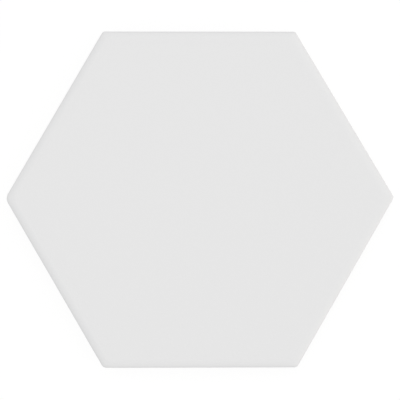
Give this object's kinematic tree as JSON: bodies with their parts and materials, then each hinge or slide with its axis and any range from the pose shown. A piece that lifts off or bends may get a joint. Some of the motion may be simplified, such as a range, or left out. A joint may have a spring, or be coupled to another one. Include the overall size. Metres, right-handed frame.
{
  "type": "hexagon tile",
  "caption": "Flat hexagonal floor or wall tile in matt white glazed porcelain, with a softly cushioned edge, rounded corners and a honeycomb keyed back for adhesive.",
  "frame": {"origin": "middle of the bedding plane, under the middle of the face", "axes": "+Z out of the glazed face, +X through a corner, +Y square to a side"},
  "size_m": [0.1162, 0.101, 0.009],
  "materials": {
    "matt_white_glaze": "matt white glaze over a pale porcelain body"
  },
  "bodies": {
    "root": {"hexagon_tile": "matt_white_glaze"}
  },
  "joints": []
}
